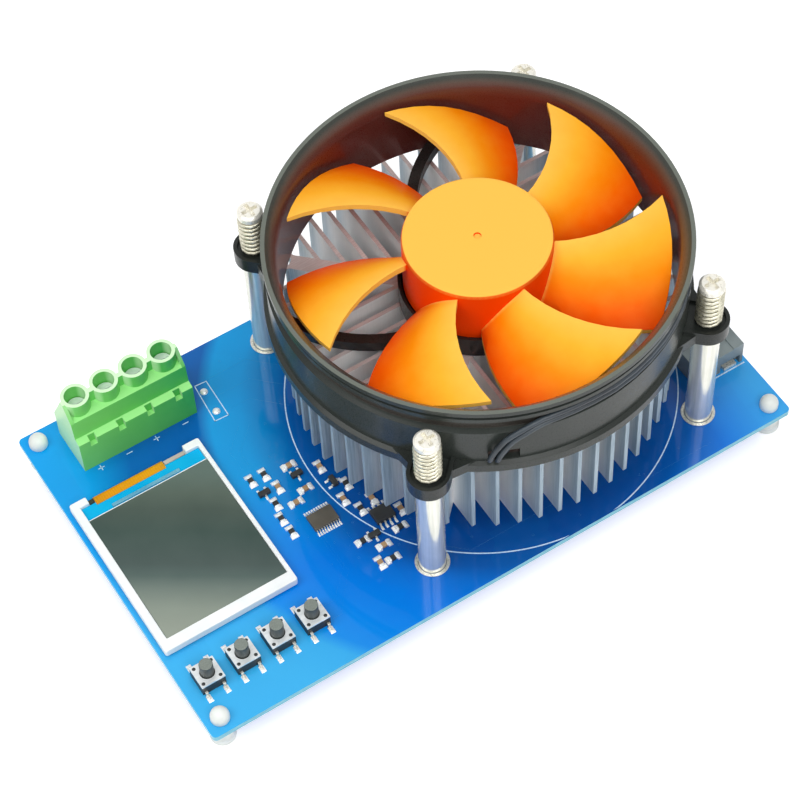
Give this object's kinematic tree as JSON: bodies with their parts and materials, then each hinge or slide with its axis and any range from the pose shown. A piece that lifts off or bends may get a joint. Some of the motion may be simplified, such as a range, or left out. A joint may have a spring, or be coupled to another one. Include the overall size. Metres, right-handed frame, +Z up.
{
  "type": "dc electronic load",
  "caption": "Single-board dc electronic load: fan-cooled round heatsink on sprung posts, small display, push buttons, screw wire terminal and power jack on a board with short feet.",
  "frame": {"origin": "on the floor, half-way along the board and under the cooler's axis", "axes": "+X along the board's long side to the right, towards the power jack; +Y to the back, towards the wire terminal; +Z up"},
  "size_m": [0.1586, 0.0986, 0.0629],
  "materials": {
    "board_laminate": "glossy blue coating over a glass-fibre board",
    "white_nylon": "moulded white nylon",
    "nickel_plate": "bright nickel plate on turned metal",
    "spring_steel": "plated spring wire",
    "bare_aluminium": "extruded, clean bare aluminium",
    "thermal_rubber": "grey heat-conducting pad",
    "chip_plastic": "moulded black epoxy",
    "tinned_metal": "tinned leads and tabs",
    "fan_black_plastic": "fine satin moulded plastic",
    "fan_orange_plastic": "translucent-looking orange plastic",
    "sintered_bronze": "porous bearing bronze",
    "motor_iron": "stacked motor sheet",
    "copper_wire": "enamelled copper wire",
    "motor_laminate": "small green circuit board",
    "ferrite": "dark bonded magnet",
    "polished_steel": "ground shaft steel",
    "wire_sheath": "soft dark wire sheath",
    "connector_plastic": "moulded off-white plastic",
    "display_white": "moulded white light guide frame",
    "foam_tape": "white foam tape",
    "display_glass": "dark glossy panel with its polariser",
    "display_blue_glass": "bluish glass ledge",
    "flex_film": "amber polyimide film",
    "switch_black": "moulded black plastic",
    "terminal_green": "moulded green plastic",
    "jack_black": "moulded black plastic",
    "ceramic_tan": "fired tan ceramic"
  },
  "bodies": {
    "board_unit": {"main_board": "board_laminate", "board_supports": "white_nylon", "cooler_posts": "nickel_plate", "post_screws": "nickel_plate", "spring_screws": "nickel_plate", "cooler_springs": "spring_steel", "heatsink": "bare_aluminium", "thermal_pad": "thermal_rubber", "power_transistors": "chip_plastic", "transistor_tabs": "tinned_metal", "fan_frame": "fan_black_plastic", "fan_bearing": "sintered_bronze", "stator_core": "motor_iron", "stator_windings": "copper_wire", "motor_board": "motor_laminate", "fan_lead": "wire_sheath", "fan_plug": "connector_plastic", "fan_header": "connector_plastic", "header_pins": "tinned_metal", "display_tape": "foam_tape", "display_frame": "display_white", "display_backlight": "display_white", "display_lower_glass": "display_blue_glass", "display_upper_glass": "display_glass", "display_driver_chip": "chip_plastic", "display_flex": "flex_film", "switch_bases": "switch_black", "switch_covers": "tinned_metal", "switch_leads": "tinned_metal", "switch_domes": "spring_steel", "terminal_housing": "terminal_green", "terminal_contacts": "tinned_metal", "power_jack_housing": "jack_black", "power_jack_pin": "nickel_plate", "power_jack_contacts": "tinned_metal", "controller_chip": "chip_plastic", "small_chips": "chip_plastic", "chip_leads": "tinned_metal", "chip_capacitors": "ceramic_tan", "chip_resistors": "chip_plastic", "chip_end_caps": "tinned_metal"},
    "fan_rotor": {"fan_impeller": "fan_orange_plastic", "rotor_yoke": "motor_iron", "rotor_magnet": "ferrite", "rotor_shaft": "polished_steel", "shaft_clip": "polished_steel"},
    "button_1_stem": {"button_1": "switch_black"},
    "button_2_stem": {"button_2": "switch_black"},
    "button_3_stem": {"button_3": "switch_black"},
    "button_4_stem": {"button_4": "switch_black"},
    "terminal_1_screw": {"terminal_screw_1": "nickel_plate"},
    "terminal_1_clamp": {"wire_clamp_1": "tinned_metal"},
    "terminal_2_screw": {"terminal_screw_2": "nickel_plate"},
    "terminal_2_clamp": {"wire_clamp_2": "tinned_metal"},
    "terminal_3_screw": {"terminal_screw_3": "nickel_plate"},
    "terminal_3_clamp": {"wire_clamp_3": "tinned_metal"},
    "terminal_4_screw": {"terminal_screw_4": "nickel_plate"},
    "terminal_4_clamp": {"wire_clamp_4": "tinned_metal"}
  },
  "joints": [
    {"name": "fan_spin", "type": "hinge", "parent": "board_unit", "child": "fan_rotor", "pos_m": [0.02295, 0, 0.0515], "axis": [0, 0, 1], "continuous": true},
    {"name": "button_1_press", "type": "slide", "parent": "board_unit", "child": "button_1_stem", "axis": [0, 0, -1], "range_m": [0, 0.00025], "stiffness_N_per_m": 2000},
    {"name": "button_2_press", "type": "slide", "parent": "board_unit", "child": "button_2_stem", "axis": [0, 0, -1], "range_m": [0, 0.00025], "stiffness_N_per_m": 2000},
    {"name": "button_3_press", "type": "slide", "parent": "board_unit", "child": "button_3_stem", "axis": [0, 0, -1], "range_m": [0, 0.00025], "stiffness_N_per_m": 2000},
    {"name": "button_4_press", "type": "slide", "parent": "board_unit", "child": "button_4_stem", "axis": [0, 0, -1], "range_m": [0, 0.00025], "stiffness_N_per_m": 2000},
    {"name": "terminal_1_turn", "type": "hinge", "parent": "board_unit", "child": "terminal_1_screw", "pos_m": [-0.06594, 0.0349, 0.0196], "axis": [0, 0, 1], "range_deg": [-1800, 0]},
    {"name": "terminal_1_lift", "type": "slide", "parent": "board_unit", "child": "terminal_1_clamp", "axis": [0, 0, 1], "range_m": [0, 0.0025]},
    {"name": "terminal_2_turn", "type": "hinge", "parent": "board_unit", "child": "terminal_2_screw", "pos_m": [-0.05832, 0.0349, 0.0196], "axis": [0, 0, 1], "range_deg": [-1800, 0]},
    {"name": "terminal_2_lift", "type": "slide", "parent": "board_unit", "child": "terminal_2_clamp", "axis": [0, 0, 1], "range_m": [0, 0.0025]},
    {"name": "terminal_3_turn", "type": "hinge", "parent": "board_unit", "child": "terminal_3_screw", "pos_m": [-0.0507, 0.0349, 0.0196], "axis": [0, 0, 1], "range_deg": [-1800, 0]},
    {"name": "terminal_3_lift", "type": "slide", "parent": "board_unit", "child": "terminal_3_clamp", "axis": [0, 0, 1], "range_m": [0, 0.0025]},
    {"name": "terminal_4_turn", "type": "hinge", "parent": "board_unit", "child": "terminal_4_screw", "pos_m": [-0.04308, 0.0349, 0.0196], "axis": [0, 0, 1], "range_deg": [-1800, 0]},
    {"name": "terminal_4_lift", "type": "slide", "parent": "board_unit", "child": "terminal_4_clamp", "axis": [0, 0, 1], "range_m": [0, 0.0025]}
  ],
  "couplings": [
    {"joint": "terminal_1_turn", "follows": "terminal_1_lift", "rad_per_m": -12566},
    {"joint": "terminal_2_turn", "follows": "terminal_2_lift", "rad_per_m": -12566},
    {"joint": "terminal_3_turn", "follows": "terminal_3_lift", "rad_per_m": -12566},
    {"joint": "terminal_4_turn", "follows": "terminal_4_lift", "rad_per_m": -12566}
  ]
}
